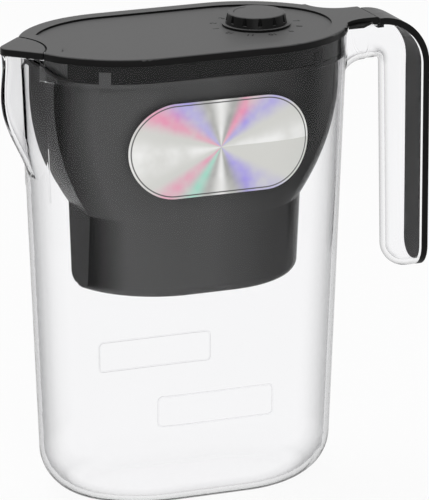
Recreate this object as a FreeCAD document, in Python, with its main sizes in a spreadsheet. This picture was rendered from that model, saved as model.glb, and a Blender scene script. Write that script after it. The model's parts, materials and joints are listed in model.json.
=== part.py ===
"""Water filter pitcher: clear jug, smoky reservoir, hinged lid with spout flap and month dial, cartridge.

Millimetres, +Z up, z = 0 on the table. X runs along the jug, spout at -X and handle at +X; Y is across it.
"""
import FreeCAD
import Part
import math
import os

import Sketcher

doc = FreeCAD.newDocument("pitcher")

# Driving dimensions, each written once
DIMENSIONS = {
    # Lid outline in plan: two long sides, four shoulder arcs, two nose arcs
    "lid_half_length": 93.0,
    "lid_half_width": 54.0,
    "shoulder_extra": 12.0,
    "nose_drop": 6.0,
    "lid_top": 257.5,
    "lid_thick": 4.0,
    "lid_edge_round": 1.2,
    "lid_recess_depth": 1.2,
    "lid_recess_margin": 9.0,
    # Jug
    "jug_setback": 0.55,
    "jug_wall": 2.6,
    "jug_floor": 3.4,
    "jug_base_round": 26.0,
    "foot_land": 0.5,
    "jug_base_inset": 1.0,
    "jug_base_shorten": 9.45,
    "rim_gap": 0.3,
    "rebate_depth": 1.2,
    "rebate_drop": 16.5,
    # Spout
    "spout_overhang": 12.4,
    "spout_root_setback": 4.7,
    "spout_root_half": 19.6,
    "spout_tip_radius": 6.0,
    "spout_straight_drop": 31.5,
    "spout_foot_drop": 83.5,
    "spout_foot_setback": 5.0,
    "spout_foot_radius": 24.0,
    # Handle
    "handle_drop": 0.9,
    "handle_half_width": 13.4,
    "handle_wall": 3.0,
    "handle_inner_top": 7.5,
    "handle_inner_grip": 10.6,
    "handle_corner": 29.0,
    "handle_length": 146.6,
    "handle_bite": 12.0,
    "strip_thick": 3.8,
    "strip_setback": 2.6,
    "strip_run": 1.1,
    "strip_gap": 0.1,
    "strip_lug_length": 3.6,
    "strip_lug_drop": 2.4,
    "strip_lug_gap": 0.4,
    "handle_root_round": 16.0,
    "handle_root_bite": 4.0,
    # Label
    "label_half_length": 52.0,
    "label_half_height": 26.4,
    "label_drop": 52.5,
    "label_thick": 0.3,
    "label_wrap": 9.6,
    # Clearances
    "slide_gap": 0.3,
    "running_gap": 0.05,
    # Reservoir
    "tank_wall": 2.2,
    "tank_drop": 138.5,
    "tank_base_round": 6.0,
    "tank_neck_drop": 94.5,
    "tank_flare_drop": 27.5,
    "tank_flare_power": 2.2,
    "tank_rim_inset": 6.0,
    "tank_neck_end_inset": 26.0,
    "tank_neck_side_inset": 10.0,
    "tank_base_inset": 2.0,
    "tank_flange": 2.4,
    "tank_flat_setback": 10.5,
    "tank_flat_neck_setback": 31.5,
    "socket_bore": 22.0,
    "socket_wall": 3.0,
    "socket_height": 13.0,
    # Lid hinge and its bracket
    "hinge_overhang": 15.1,
    "hinge_drop": 2.2,
    "barrel_radius": 2.2,
    "hinge_pin_radius": 0.8,
    "hinge_pin_cover": 1.0,
    "knuckle_radius": 1.5,
    "knuckle_gap": 0.2,
    "barrel_half": 13.2,
    "centre_half": 5.0,
    "neck_thick": 2.2,
    "neck_flare": 18.2,
    "neck_flare_overhang": 9.0,
    "neck_root_setback": 9.0,
    "neck_root_half": 29.0,
    "bracket_half": 12.0,
    "bracket_wing": 19.0,
    "bracket_plate": 1.5,
    "bracket_setback": 6.0,
    "bracket_upright": 2.0,
    "bracket_tip": 12.8,
    "bracket_taper": 7.0,
    "bracket_arm": 6.0,
    "bracket_screw_bite": 1.6,
    "bracket_screw_radius": 1.0,
    "bracket_screw_head": 1.8,
    "bracket_screw_head_thick": 1.2,
    "bracket_screw_y": 7.0,
    # Liner under the lid
    "liner_gap": 0.5,
    "liner_wall": 2.0,
    "liner_flat_setback": 14.0,
    "boss_radius": 3.2,
    "boss_shift": 1.0,
    "boss_inset": 7.0,
    "liner_screw_radius": 1.1,
    "liner_screw_head": 2.0,
    "liner_screw_head_thick": 1.6,
    "liner_screw_grip": 2.0,
    # Spout flap
    "flap_corner_setback": 3.8,
    "flap_arc": 32.0,
    "flap_gap": 0.8,
    "flap_pivot_setback": 6.0,
    "flap_pivot_drop": 1.3,
    "flap_pin_radius": 0.8,
    "flap_pin_inner": 11.0,
    "flap_pin_outer": 21.3,
    "flap_lift": 0.2,
    "flap_round": 0.8,
    "flap_boss_half": 2.0,
    "flap_boss_y": 10.0,
    "flap_boss_drop": 1.8,
    # Month dial
    "dial_x": 42.5,
    "dial_flange_radius": 18.8,
    "dial_flange_thick": 1.2,
    "dial_base_radius": 16.9,
    "dial_top_radius": 15.7,
    "dial_height": 7.2,
    "dial_round": 1.0,
    "dial_notch_radius": 1.3,
    "dial_notch_depth": 4.6,
    "dial_gap": 0.2,
    "spindle_radius": 4.0,
    "bush_radius": 6.0,
    "bush_flange_radius": 8.0,
    "bush_flange_thick": 1.7,
    "wheel_radius": 9.5,
    "wheel_thick": 2.0,
    "scallop_radius": 1.2,
    "scallop_offset": 0.5,
    "dial_screw_radius": 1.2,
    "dial_screw_head": 2.4,
    "dial_screw_head_thick": 1.4,
    "dial_screw_length": 5.0,
    "spring_thick": 0.6,
    "spring_half": 13.0,
    "spring_foot": 3.0,
    "spring_nub": 1.0,
    # Cartridge
    "cart_clearance": 16.0,
    "cart_wall": 2.0,
    "cart_height": 46.0,
    "cart_cap_thick": 4.0,
    "cart_cap_round": 1.0,
    "cart_loop_radius": 11.0,
    "cart_loop_tube": 2.4,
    "cart_seat_gap": 0.3,
    "spigot_gap": 0.4,
    "spigot_wall": 4.0,
    "seal_radius": 1.5,
    "screen_thick": 1.0,
    "fill_gap": 0.1,
    "cap_slot_radius": 2.5,
    "cap_slot_ring": 24.0,
}
DIAL_MARKS = 12
CAP_SLOTS = 12
FLARE_STEPS = 6

sheet = doc.addObject("Spreadsheet::Sheet", "Dimensions")
for row, (alias, number) in enumerate(DIMENSIONS.items(), start=1):
    sheet.set(f"A{row}", alias.replace("_", " "))
    sheet.set(f"B{row}", str(number))
    sheet.setAlias(f"B{row}", alias)
doc.recompute()


class Size:
    """A length together with the spreadsheet formula that gives it."""

    def __init__(self, value, formula):
        self.value = value
        self.formula = formula

    def _with(self, other, sign, value):
        return Size(value, f"({self.formula} {sign} {as_size(other).formula})")

    def __add__(self, other):
        return self._with(other, "+", self.value + as_size(other).value)

    def __sub__(self, other):
        return self._with(other, "-", self.value - as_size(other).value)

    def __mul__(self, other):
        return self._with(other, "*", self.value * as_size(other).value)

    def __truediv__(self, other):
        return self._with(other, "/", self.value / as_size(other).value)

    def __neg__(self):
        return Size(-self.value, f"(0 - {self.formula})")


def as_size(number):
    return number if isinstance(number, Size) else Size(float(number), repr(float(number)))


def root(size):
    return Size(math.sqrt(size.value), f"sqrt({size.formula})")


def dim(alias):
    return Size(float(sheet.get(alias)), f"Dimensions.{alias}")


ZERO = as_size(0)


# Sketch, feature and placement helpers
def new_body(label):
    return doc.addObject("PartDesign::Body", label)


def new_sketch(body, name, plane="XY_Plane", level=ZERO):
    """A sketch on one of the body's own planes, lifted by level along that plane's normal."""
    sketch = body.newObject("Sketcher::SketchObject", name)
    support = [feature for feature in body.Origin.OriginFeatures if feature.Role == plane][0]
    sketch.AttachmentSupport = [(support, "")]
    sketch.MapMode = "FlatFace"
    sketch.setExpression("AttachmentOffset.Base.z", level.formula)
    return sketch


def hold(sketch, curve, end, x, y):
    """Fixes one end of a curve at x, y."""
    for kind, size, axis in (("DistanceX", x, -2), ("DistanceY", y, -1)):
        if abs(size.value) < 1e-9:
            sketch.addConstraint(Sketcher.Constraint("PointOnObject", curve, end, axis))
        else:
            index = sketch.addConstraint(Sketcher.Constraint(kind, -1, 1, curve, end, size.value))
            sketch.setExpression(f"Constraints[{index}]", size.formula)


def hold_radius(sketch, curve, radius):
    index = sketch.addConstraint(Sketcher.Constraint("Radius", curve, radius.value))
    sketch.setExpression(f"Constraints[{index}]", radius.formula)


def draw(sketch, points, radii, closed=True):
    """Draws lines and arcs through points: a radius above 0 turns left, below 0 right, None is straight."""
    count = len(points)
    curves = []
    for number in range(count if closed else count - 1):
        start = points[number]
        end = points[(number + 1) % count]
        a = FreeCAD.Vector(start[0].value, start[1].value, 0)
        b = FreeCAD.Vector(end[0].value, end[1].value, 0)
        bend = radii[number]
        if bend is None:
            curve = sketch.addGeometry(Part.LineSegment(a, b))
            curves.append((curve, 1, 2))
            continue
        left = bend.value > 0
        radius = bend if left else -bend
        chord = b - a
        normal = FreeCAD.Vector(-chord.y, chord.x, 0).normalize()
        rise = math.sqrt(max(radius.value ** 2 - (chord.Length / 2) ** 2, 0))
        centre = (a + b) * 0.5 + normal * (rise if left else -rise)
        first, last = (a, b) if left else (b, a)
        angles = [math.atan2(p.y - centre.y, p.x - centre.x) for p in (first, last)]
        circle = Part.Circle(centre, FreeCAD.Vector(0, 0, 1), radius.value)
        curve = sketch.addGeometry(Part.ArcOfCircle(circle, angles[0], angles[1]))
        curves.append((curve, 1, 2) if left else (curve, 2, 1))
        hold_radius(sketch, curve, radius)
    for number, (curve, start_end, far_end) in enumerate(curves):
        hold(sketch, curve, start_end, *points[number])
        if number + 1 < len(curves) or closed:
            after, after_start, unused_end = curves[(number + 1) % len(curves)]
            sketch.addConstraint(Sketcher.Constraint("Coincident", curve, far_end, after, after_start))
        else:
            hold(sketch, curve, far_end, *points[number + 1])
    return sketch


def rectangle(sketch, x0, x1, y0, y1):
    return draw(sketch, [(x0, y0), (x1, y0), (x1, y1), (x0, y1)], [None] * 4)


def circle(sketch, x, y, radius):
    centre = FreeCAD.Vector(x.value, y.value, 0)
    curve = sketch.addGeometry(Part.Circle(centre, FreeCAD.Vector(0, 0, 1), radius.value))
    hold(sketch, curve, 3, x, y)
    hold_radius(sketch, curve, radius)
    return sketch


def pill(sketch, x, y, half_length, half_height):
    """A slot with round ends along the first axis."""
    run = half_length - half_height
    low = y - half_height
    high = y + half_height
    points = [(x - run, low), (x + run, low), (x + half_length, y), (x + run, high), (x - run, high),
              (x - half_length, y)]
    return draw(sketch, points, [None, half_height, half_height, None, half_height, half_height])


def pad(body, sketch, length):
    feature = body.newObject("PartDesign::Pad", f"{body.Name}_pad")
    feature.Profile = sketch
    feature.Type = "Length"
    feature.setExpression("Length", length.formula)
    return feature


def loft(body, sketches, ruled=False):
    feature = body.newObject("PartDesign::AdditiveLoft", f"{body.Name}_loft")
    feature.Profile = sketches[0]
    feature.Sections = sketches[1:]
    feature.Ruled = ruled
    return feature


def revolve(body, sketch):
    """A full turn of the sketch about the body's upright axis."""
    feature = body.newObject("PartDesign::Revolution", f"{body.Name}_revolution")
    feature.Profile = sketch
    line = [item for item in body.Origin.OriginFeatures if item.Role == "Z_Axis"][0]
    feature.ReferenceAxis = (line, [""])
    feature.Angle = 360.0
    return feature


def soften(body, chosen, radius):
    """Rounds the edges of the body's last feature that chosen picks."""
    doc.recompute()
    base = body.Tip
    names = [f"Edge{number}" for number, edge in enumerate(base.Shape.Edges, start=1) if chosen(edge)]
    feature = body.newObject("PartDesign::Fillet", f"{body.Name}_fillet")
    feature.Base = (base, names)
    feature.setExpression("Radius", radius.formula)
    doc.recompute()
    return feature


def combine(label, kind, first, second):
    """A Part::Cut, Part::Fuse or Part::Common of two objects."""
    result = doc.addObject(f"Part::{kind}", label)
    result.Base = first
    result.Tool = second
    return result


def at_level(level):
    """Picks the edges that lie flat at a height."""
    return lambda edge: all(abs(vertex.Z - level.value) < 1e-4 for vertex in edge.Vertexes)


# Plan outlines
LID_LENGTH = dim("lid_half_length")
LID_WIDTH = dim("lid_half_width")
SHOULDER = LID_WIDTH + dim("shoulder_extra")
NOSE = LID_WIDTH - dim("nose_drop")
LID_TOP = dim("lid_top")
LID_UNDER = LID_TOP - dim("lid_thick")
RIM = LID_UNDER - dim("rim_gap")
REBATE = LID_TOP - dim("rebate_drop")

# Places along the jug and up it, all measured from the lid
SPOUT_REACH = LID_LENGTH + dim("spout_overhang")
SPOUT_ROOT = LID_LENGTH - dim("spout_root_setback")
SPOUT_STRAIGHT = LID_TOP - dim("spout_straight_drop")
SPOUT_FOOT = LID_TOP - dim("spout_foot_drop")
SPOUT_FOOT_REACH = LID_LENGTH - dim("spout_foot_setback")
HINGE_X = LID_LENGTH + dim("hinge_overhang")
HANDLE_TOP = LID_TOP - dim("handle_drop")
HANDLE_END = HANDLE_TOP - dim("handle_length")
STRIP_FRONT = HINGE_X + dim("strip_setback")
HANDLE_BACK = STRIP_FRONT + dim("strip_run") + dim("handle_corner")
TANK_BOTTOM = LID_TOP - dim("tank_drop")
TANK_NECK = LID_TOP - dim("tank_neck_drop")
TANK_FLARE = LID_TOP - dim("tank_flare_drop")
SPOUT_STEPS = 5
ROOT_ANGLES = (30, 50, 70, 90)


def racetrack(sketch, half_length, half_width, shoulder, nose):
    """The jug's plan form: straight sides that run through shoulder arcs into tighter nose arcs."""
    lean = (shoulder - half_width) / (shoulder - nose)
    reach = root(as_size(1) - lean * lean)
    nose_centre = half_length - nose
    shoulder_centre = nose_centre - (shoulder - nose) * reach
    meet_x = nose_centre + nose * reach
    meet_y = nose * lean
    points = [
        (meet_x, -meet_y), (meet_x, meet_y), (shoulder_centre, half_width),
        (-shoulder_centre, half_width), (-meet_x, meet_y), (-meet_x, -meet_y),
        (-shoulder_centre, -half_width), (shoulder_centre, -half_width),
    ]
    return draw(sketch, points, [nose, shoulder, None, shoulder, nose, shoulder, None, shoulder])


def lid_outline(sketch, inset):
    return racetrack(sketch, LID_LENGTH - inset, LID_WIDTH - inset, SHOULDER - inset, NOSE - inset)


def jug_outline(sketch, level, inset):
    """The jug's plan at a height: its ends draw in more than its sides towards the foot."""
    drop = as_size(1) - level / RIM
    side = inset + dim("jug_setback") + dim("jug_base_inset") * drop
    length = LID_LENGTH - side - dim("jug_base_shorten") * drop
    return racetrack(sketch, length, LID_WIDTH - side, SHOULDER - side, NOSE - side)


def jug_solid(label, inset, bottom, top, base_round):
    """The jug's drafted block, inset from its outer skin, on a rounded foot."""
    body = new_body(label)
    knee = bottom + base_round + dim("foot_land")
    foot = jug_outline(new_sketch(body, f"{label}_foot", level=bottom), knee, inset)
    pad(body, foot, knee - bottom)
    soften(body, at_level(bottom), base_round)
    sections = []
    for name, level in (("knee", knee), ("mouth", top)):
        sections.append(jug_outline(new_sketch(body, f"{label}_{name}", level=level), level, inset))
    loft(body, sections, ruled=True)
    return body


def spout_solid(label, inset, top):
    """The spout's tapering nose: wide V sections at the mouth that sink into the wall lower down."""
    body = new_body(label)
    foot = SPOUT_FOOT
    sections = []
    for step in range(SPOUT_STEPS + 1):
        level = foot + (top - foot) * (step / SPOUT_STEPS)
        climb = min((level.value - foot.value) / (SPOUT_STRAIGHT.value - foot.value), 1.0)
        swell = climb * climb * (3 - 2 * climb)
        reach = SPOUT_FOOT_REACH + (SPOUT_REACH - SPOUT_FOOT_REACH) * swell
        tip_radius = dim("spout_foot_radius") + (dim("spout_tip_radius") - dim("spout_foot_radius")) * swell
        sketch = new_sketch(body, f"{label}_section", level=level)
        sections.append(spout_section(sketch, level, reach - inset, tip_radius - inset * 0.5, inset))
    loft(body, sections)
    return body


def spout_side(level, reach, tip_radius, inset):
    """Where the spout's straight side leaves the jug's nose, and where it touches the round tip."""
    root_x = SPOUT_ROOT - inset - dim("jug_base_shorten") * (as_size(1) - level / RIM)
    root_y = dim("spout_root_half") - inset
    centre = reach - tip_radius
    run = centre - root_x
    span = root(run * run + root_y * root_y)
    tangent = root(span * span - tip_radius * tip_radius)
    cosine = (run * tangent + root_y * tip_radius) / (span * span)
    sine = (root_y * tangent - run * tip_radius) / (span * span)
    return root_x, root_y, root_x + tangent * cosine, root_y - tangent * sine


def spout_section(sketch, level, reach, tip_radius, inset):
    """A rounded V from the two roots on the jug's nose to the tip, closed inside the jug."""
    root_x, root_y, touch_x, touch_y = spout_side(level, reach, tip_radius, inset)
    inner_x = LID_LENGTH - NOSE
    points = [(-touch_x, touch_y), (-touch_x, -touch_y), (-root_x, -root_y), (-inner_x, -root_y),
              (-inner_x, root_y), (-root_x, root_y)]
    return draw(sketch, points, [tip_radius, None, None, None, None, None])


def prism(label, drawing, bottom, top):
    """An upright prism between two heights; drawing puts its plan into a sketch."""
    body = new_body(label)
    sketch = new_sketch(body, f"{label}_plan", level=bottom)
    drawing(sketch)
    pad(body, sketch, top - bottom)
    return body


def box(label, x0, x1, y0, y1, z0, z1):
    return prism(label, lambda sketch: rectangle(sketch, x0, x1, y0, y1), z0, z1)


def cylinder(label, radius, x, y, z, length, along="Z"):
    """A cylinder that starts at x, y, z and runs along +Z, +Y or +X."""
    solid = doc.addObject("Part::Cylinder", label)
    solid.setExpression("Radius", radius.formula)
    solid.setExpression("Height", length.formula)
    axis, angle = {"Z": ((0, 0, 1), 0), "Y": ((1, 0, 0), -90), "X": ((0, 1, 0), 90)}[along]
    solid.Placement.Rotation = FreeCAD.Rotation(FreeCAD.Vector(*axis), angle)
    for name, size in (("x", x), ("y", y), ("z", z)):
        solid.setExpression(f"Placement.Base.{name}", size.formula)
    return solid


def join(label, pieces):
    """Fuses several objects."""
    result = doc.addObject("Part::MultiFuse", label)
    result.Shapes = pieces
    return result


def carve(label, base, tools):
    """Cuts several tools out of a base."""
    tool = tools[0] if len(tools) == 1 else join(f"{label}_tools", tools)
    return combine(label, "Cut", base, tool)


def turned(label, points, x=ZERO):
    """A turned piece: a half profile of radius and height, spun about an upright axis at x."""
    body = new_body(label)
    sketch = new_sketch(body, f"{label}_profile", plane="XZ_Plane")
    draw(sketch, points, [None] * len(points))
    revolve(body, sketch)
    body.setExpression("Placement.Base.x", x.formula)
    return body


# Jug
wall = dim("jug_wall")
seat_inset = dim("jug_setback") + wall - dim("rebate_depth")
rebate = prism("rim_rebate", lambda sketch: lid_outline(sketch, seat_inset), REBATE, RIM + wall)
jug_block = jug_solid("jug_block", ZERO, ZERO, RIM, dim("jug_base_round"))
jug_outer = combine("jug_outer", "Fuse", jug_block, spout_solid("spout_block", ZERO, RIM))
jug_inner = join("jug_inner", [
    jug_solid("jug_hollow", wall, dim("jug_floor"), RIM, dim("jug_base_round") - wall),
    spout_solid("spout_hollow", wall, RIM),
])
jug_body = carve("jug_body", jug_outer, [jug_inner, rebate])

# Label: a pill of foil that follows the jug's front
label_prism = new_body("label_prism")
label_sketch = new_sketch(label_prism, "label_pill", plane="XZ_Plane", level=LID_WIDTH - dim("label_wrap"))
pill(label_sketch, ZERO, (LID_TOP - dim("label_drop")), dim("label_half_length"), dim("label_half_height"))
pad(label_prism, label_sketch, dim("label_wrap") * 2)
label_skin = jug_solid("label_skin", -dim("label_thick"), ZERO, RIM, dim("jug_base_round"))
label_layer = combine("label_layer", "Cut", label_skin, jug_block)
foil_label = combine("foil_label", "Common", label_prism, label_layer)

# Handle: a clear channel along an L, closed by a dark strip
hand_half = dim("handle_half_width")
open_level = HANDLE_TOP - dim("strip_thick")
open_x = HANDLE_BACK - dim("strip_thick")
bend = dim("handle_corner") - dim("strip_thick")
end_level = HANDLE_END + hand_half
depth_top = dim("handle_corner") - dim("handle_inner_top")
depth_grip = dim("handle_corner") - dim("handle_inner_grip")
root_x = LID_LENGTH - dim("handle_bite")


def handle_path(body, start_x):
    sketch = new_sketch(body, f"{body.Name}_path", plane="XZ_Plane")
    bend_x = open_x - bend
    points = [(start_x, open_level), (bend_x, open_level), (open_x, open_level - bend), (open_x, end_level)]
    return draw(sketch, points, [None, -bend, None], closed=False)


def channel_section(body, plane, level, mouth, half, depth):
    """A U whose open side is at mouth and whose round bottom lies depth away from it."""
    sketch = new_sketch(body, f"{body.Name}_section", plane=plane, level=level)
    shoulder = mouth - depth + half
    if plane == "YZ_Plane":
        points = [(-half, mouth), (-half, shoulder), (ZERO, shoulder - half), (half, shoulder), (half, mouth)]
        return draw(sketch, points, [None, half, half, None, None])
    points = [(mouth, half), (shoulder, half), (shoulder - half, ZERO), (shoulder, -half), (mouth, -half)]
    return draw(sketch, points, [None, half, half, None, None])


def channel(label, inset, lift):
    """The handle's channel as a solid bar, inset from its outer skin."""
    body = new_body(label)
    half = hand_half - inset
    path = handle_path(body, root_x)
    top = channel_section(body, "YZ_Plane", root_x, open_level + lift, half, depth_top - inset + lift)
    grip = channel_section(body, "XY_Plane", end_level, open_x + lift, half, depth_grip - inset + lift)
    pipe = body.newObject("PartDesign::AdditivePipe", f"{label}_pipe")
    pipe.Profile = top
    pipe.Spine = (path, ["Edge1", "Edge2", "Edge3"])
    pipe.Sections = [grip]
    pipe.Transformation = "Multisection"
    end = new_sketch(body, f"{label}_end", plane="XY_Plane", level=end_level)
    mouth = open_x + lift
    shoulder = open_x - depth_grip + inset + half
    points = [(shoulder - half, ZERO), (mouth, ZERO), (mouth, half), (shoulder, half)]
    draw(end, points, [None, None, None, half])
    dome = body.newObject("PartDesign::Revolution", f"{label}_dome")
    dome.Profile = end
    dome.ReferenceAxis = (end, ["H_Axis"])
    dome.Angle = 360.0
    return body


def channel_root(label, inset, lift):
    """The channel's deeper end, whose underside sweeps down into the jug's wall."""
    body = new_body(label)
    sweep = dim("handle_root_round")
    depth = depth_top - inset + lift
    sections = []
    for angle in ROOT_ANGLES:
        x = LID_LENGTH - dim("handle_root_bite") + sweep * (1 - math.cos(math.radians(angle)))
        drop = sweep * (1 - math.sin(math.radians(angle)))
        mouth = open_level + lift
        sections.append(channel_section(body, "YZ_Plane", x, mouth, hand_half - inset, depth + drop))
    loft(body, sections)
    return body


def handle_bar(label, inset, lift):
    return join(label, [channel(f"{label}_bar", inset, lift), channel_root(f"{label}_root", inset, lift)])


handle_shell = carve("handle_shell", handle_bar("channel_outer", ZERO, ZERO),
                     [handle_bar("channel_inner", dim("handle_wall"), dim("strip_thick")), jug_outer])

strip_low = open_level + dim("strip_gap")
strip_bar = new_body("strip_bar")
strip_path = handle_path(strip_bar, STRIP_FRONT)
strip_section = new_sketch(strip_bar, "strip_section", plane="YZ_Plane", level=STRIP_FRONT)
rectangle(strip_section, -hand_half, hand_half, strip_low, HANDLE_TOP)
strip_pipe = strip_bar.newObject("PartDesign::AdditivePipe", "strip_pipe")
strip_pipe.Profile = strip_section
strip_pipe.Spine = (strip_path, ["Edge1", "Edge2", "Edge3"])
strip_end = new_sketch(strip_bar, "strip_end", plane="YZ_Plane", level=open_x + dim("strip_gap"))
circle(strip_end, ZERO, end_level, hand_half)
pad(strip_bar, strip_end, dim("strip_thick") - dim("strip_gap"))
lug_half = hand_half - dim("handle_wall") - dim("strip_lug_gap")
lug_end = STRIP_FRONT + dim("strip_lug_length")
strip_lug = box("strip_lug", STRIP_FRONT, lug_end, -lug_half, lug_half,
                strip_low - dim("strip_lug_drop"), strip_low + dim("strip_thick") / 2)
handle_strip = join("handle_strip", [strip_bar, strip_lug])

# Reservoir
gap = dim("slide_gap")
hang_inset = seat_inset + gap
tank_top = REBATE
flange_top = tank_top + dim("tank_flange")
shoulder_rise = SHOULDER - LID_WIDTH


def tank_outline(sketch, level, inset):
    """The reservoir's plan at a height: it flares from the neck to the rim."""
    neck = TANK_NECK
    if level.value >= neck.value:
        climb = min((level.value - neck.value) / (TANK_FLARE.value - neck.value), 1.0)
        pinch = (1.0 - climb) ** dim("tank_flare_power").value
        droop = ZERO
    else:
        pinch = 1.0
        droop = dim("tank_base_inset") * ((neck - level) / (neck - TANK_BOTTOM))
    at_rim = dim("tank_rim_inset")
    ends = inset + at_rim + (dim("tank_neck_end_inset") - at_rim) * pinch + droop
    sides = inset + at_rim + (dim("tank_neck_side_inset") - at_rim) * pinch + droop
    half_width = LID_WIDTH - sides
    return racetrack(sketch, LID_LENGTH - ends, half_width, half_width + shoulder_rise, NOSE - ends)


def tank_solid(label, inset, bottom, top, base_round):
    """The reservoir as a block: rounded base, upright lower part and flare."""
    body = new_body(label)
    knee = bottom + base_round + dim("foot_land")
    neck = TANK_NECK
    base = tank_outline(new_sketch(body, f"{label}_base", level=bottom), knee, inset)
    pad(body, base, knee - bottom)
    soften(body, at_level(bottom), base_round)
    lower = []
    for level in (knee, neck):
        lower.append(tank_outline(new_sketch(body, f"{label}_lower", level=level), level, inset))
    loft(body, lower, ruled=True)
    flare = []
    for step in range(FLARE_STEPS + 1):
        level = neck + (top - neck) * (step / FLARE_STEPS)
        flare.append(tank_outline(new_sketch(body, f"{label}_flare", level=level), level, inset))
    loft(body, flare)
    return body


def tank_end_cutter(label, inset):
    """Everything beyond the reservoir's flat spout end, which leaves the pouring channel open."""
    body = new_body(label)
    sketch = new_sketch(body, f"{label}_side", plane="XZ_Plane", level=-LID_WIDTH)
    top_x = -(LID_LENGTH - dim("tank_flat_setback")) + inset
    neck_x = -(LID_LENGTH - dim("tank_flat_neck_setback")) + inset
    rise = TANK_FLARE - TANK_NECK
    step = neck_x - top_x
    sweep = (rise * rise + step * step) / (step * 2)
    far = -LID_LENGTH * 2
    points = [(far, ZERO), (neck_x, ZERO), (neck_x, TANK_NECK), (top_x, TANK_FLARE),
              (top_x, LID_TOP), (far, LID_TOP)]
    draw(sketch, points, [None, None, -sweep, None, None, None])
    pad(body, sketch, LID_WIDTH * 2)
    return body


thin = dim("tank_wall")
socket_radius = dim("socket_bore") + dim("socket_wall")
socket_top = TANK_BOTTOM + dim("socket_height")
tank_block = tank_solid("tank_block", ZERO, TANK_BOTTOM, tank_top, dim("tank_base_round"))
tank_flange = prism("tank_flange", lambda sketch: lid_outline(sketch, hang_inset), tank_top, flange_top)
tank_outer = carve("tank_outer", join("tank_mass", [tank_block, tank_flange]),
                   [tank_end_cutter("tank_end_cutter", ZERO)])
tank_hollow = tank_solid("tank_hollow", thin, TANK_BOTTOM + thin, tank_top, dim("tank_base_round") - thin)


def mouth_plan(sketch):
    return tank_outline(sketch, tank_top, thin)


tank_mouth = prism("tank_mouth", mouth_plan, tank_top, flange_top + thin)
tank_inner = carve("tank_inner", join("tank_space", [tank_hollow, tank_mouth]),
                   [tank_end_cutter("tank_end_inner", thin)])
socket = cylinder("socket", socket_radius, ZERO, ZERO, TANK_BOTTOM, dim("socket_height"))
socket_bore = cylinder("socket_bore", dim("socket_bore"), ZERO, ZERO, ZERO, socket_top + thin)
face = LID_LENGTH - dim("bracket_setback")
half = dim("bracket_half")
bracket_tab = box("bracket_tab", face - thin, face, -half, half, tank_top, LID_UNDER - dim("bracket_plate"))
tank_shell = carve("tank_shell", tank_outer, [tank_inner])
reservoir_mass = join("reservoir_mass", [tank_shell, socket, bracket_tab])
screw_level = (flange_top + LID_UNDER) / 2
screw_sides = [-dim("bracket_screw_y"), dim("bracket_screw_y")]
screw_holes = []
for y in screw_sides:
    hole_radius = dim("bracket_screw_radius")
    screw_holes.append(cylinder("tab_hole", hole_radius, face - thin * 2, y, screw_level, thin * 3, "X"))
reservoir = carve("reservoir", reservoir_mass, [socket_bore] + screw_holes)

# Hinge bracket: stands on the reservoir's rim, crosses the jug's rim and carries the lid's hinge
pivot_x = HINGE_X
pivot_z = LID_TOP - dim("hinge_drop")
barrel = dim("barrel_radius")
pin = dim("hinge_pin_radius")
plate_low = LID_UNDER
plate_high = plate_low + dim("bracket_plate")
plate_end = pivot_x - barrel - gap
wing = dim("bracket_wing")
knuckle = dim("centre_half")
wing_x = LID_LENGTH + gap


def bracket_plan(sketch):
    """A tongue under the lid that widens into two wings round the lid's end."""
    tip = dim("bracket_tip")
    taper_x = plate_end - dim("bracket_taper")
    follow = NOSE + gap
    nose_centre = LID_LENGTH - NOSE
    neck_x = nose_centre + root(follow * follow - half * half)
    root_x = nose_centre + root(follow * follow - wing * wing)
    points = [(face, -half), (neck_x, -half), (root_x, -wing), (taper_x, -wing), (plate_end, -tip),
              (plate_end, tip), (taper_x, wing), (root_x, wing), (neck_x, half), (face, half)]
    return draw(sketch, points, [None, -follow, None, None, None, None, None, -follow, None, None])


bracket_mass = join("bracket_mass", [
    prism("bracket_plate", bracket_plan, plate_low, plate_high),
    box("bracket_upright", face, face + dim("bracket_upright"), -half, half, flange_top, plate_high),
    box("bracket_arm", plate_end - dim("bracket_arm"), pivot_x, -knuckle, knuckle, plate_low, plate_high),
    cylinder("bracket_barrel", dim("knuckle_radius"), pivot_x, -knuckle, pivot_z, knuckle * 2, "Y"),
])
running_bore = pin + dim("running_gap")
bracket_holes = [cylinder("bracket_bore", running_bore, pivot_x, -LID_WIDTH, pivot_z, LID_WIDTH * 2, "Y")]
screws = []
for y in screw_sides:
    shank = dim("bracket_screw_radius")
    grip = thin + dim("bracket_screw_bite")
    head = dim("bracket_screw_head_thick")
    head_radius = dim("bracket_screw_head")
    bracket_holes.append(cylinder("bracket_hole", shank, face - thin, y, screw_level, grip, "X"))
    screws.append(join("bracket_screw", [
        cylinder("bracket_screw_shank", shank, face - thin, y, screw_level, grip, "X"),
        cylinder("bracket_screw_head", head_radius, face - thin - head, y, screw_level, head, "X"),
    ]))
hinge_bracket = carve("hinge_bracket", bracket_mass, bracket_holes)
bracket_screws = doc.addObject("Part::Compound", "bracket_screws")
bracket_screws.Links = screws

# Lid
recess_floor = LID_TOP - dim("lid_recess_depth")
proud = dim("jug_setback")
flap_tip = dim("spout_tip_radius") + proud
flap_root_x, flap_root_y, flap_touch_x, flap_touch_y = spout_side(RIM, SPOUT_REACH + proud, flap_tip, -proud)
corner_x = LID_LENGTH - dim("flap_corner_setback")
lean_back = (flap_root_y - flap_touch_y) / (flap_touch_x - flap_root_x)
corner_y = flap_root_y - (corner_x - flap_root_x) * lean_back
flap_arc = dim("flap_arc")
flap_centre = -corner_x - root(flap_arc * flap_arc - corner_y * corner_y)
notch_radius = flap_arc + dim("flap_gap")
neck_bottom = LID_TOP - dim("neck_thick")
neck_half = dim("barrel_half")
lid_plate = prism("lid_plate", lambda sketch: lid_outline(sketch, ZERO), LID_UNDER, LID_TOP)
soften(lid_plate, at_level(LID_TOP), dim("lid_edge_round"))


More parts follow.
